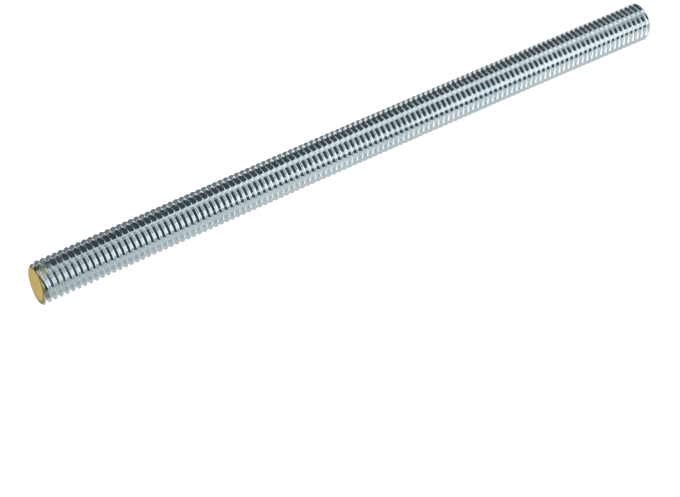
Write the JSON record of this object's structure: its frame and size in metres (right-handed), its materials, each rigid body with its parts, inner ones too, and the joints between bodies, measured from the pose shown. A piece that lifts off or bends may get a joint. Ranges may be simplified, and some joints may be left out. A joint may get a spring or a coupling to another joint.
{
  "type": "threaded rod",
  "caption": "Short zinc-plated steel rod, threaded from end to end, bevelled at both ends, with a yellow paint mark on one end face; joins, hangs or clamps with nuts.",
  "frame": {"origin": "centre of the plain end's flat face, which is the lowest face", "axes": "+Z along the rod's axis, from the plain end up to the painted end; X and Y across the rod"},
  "size_m": [0.0098, 0.0098, 0.1751],
  "materials": {
    "zinc_plated_steel": "bright zinc plating with a faint blue passivation, over rolled thread",
    "yellow_paint": "thin hand-dabbed satin paint, uneven at its edge"
  },
  "bodies": {
    "root": {"threaded_rod": "zinc_plated_steel", "end_paint": "yellow_paint"}
  },
  "joints": []
}
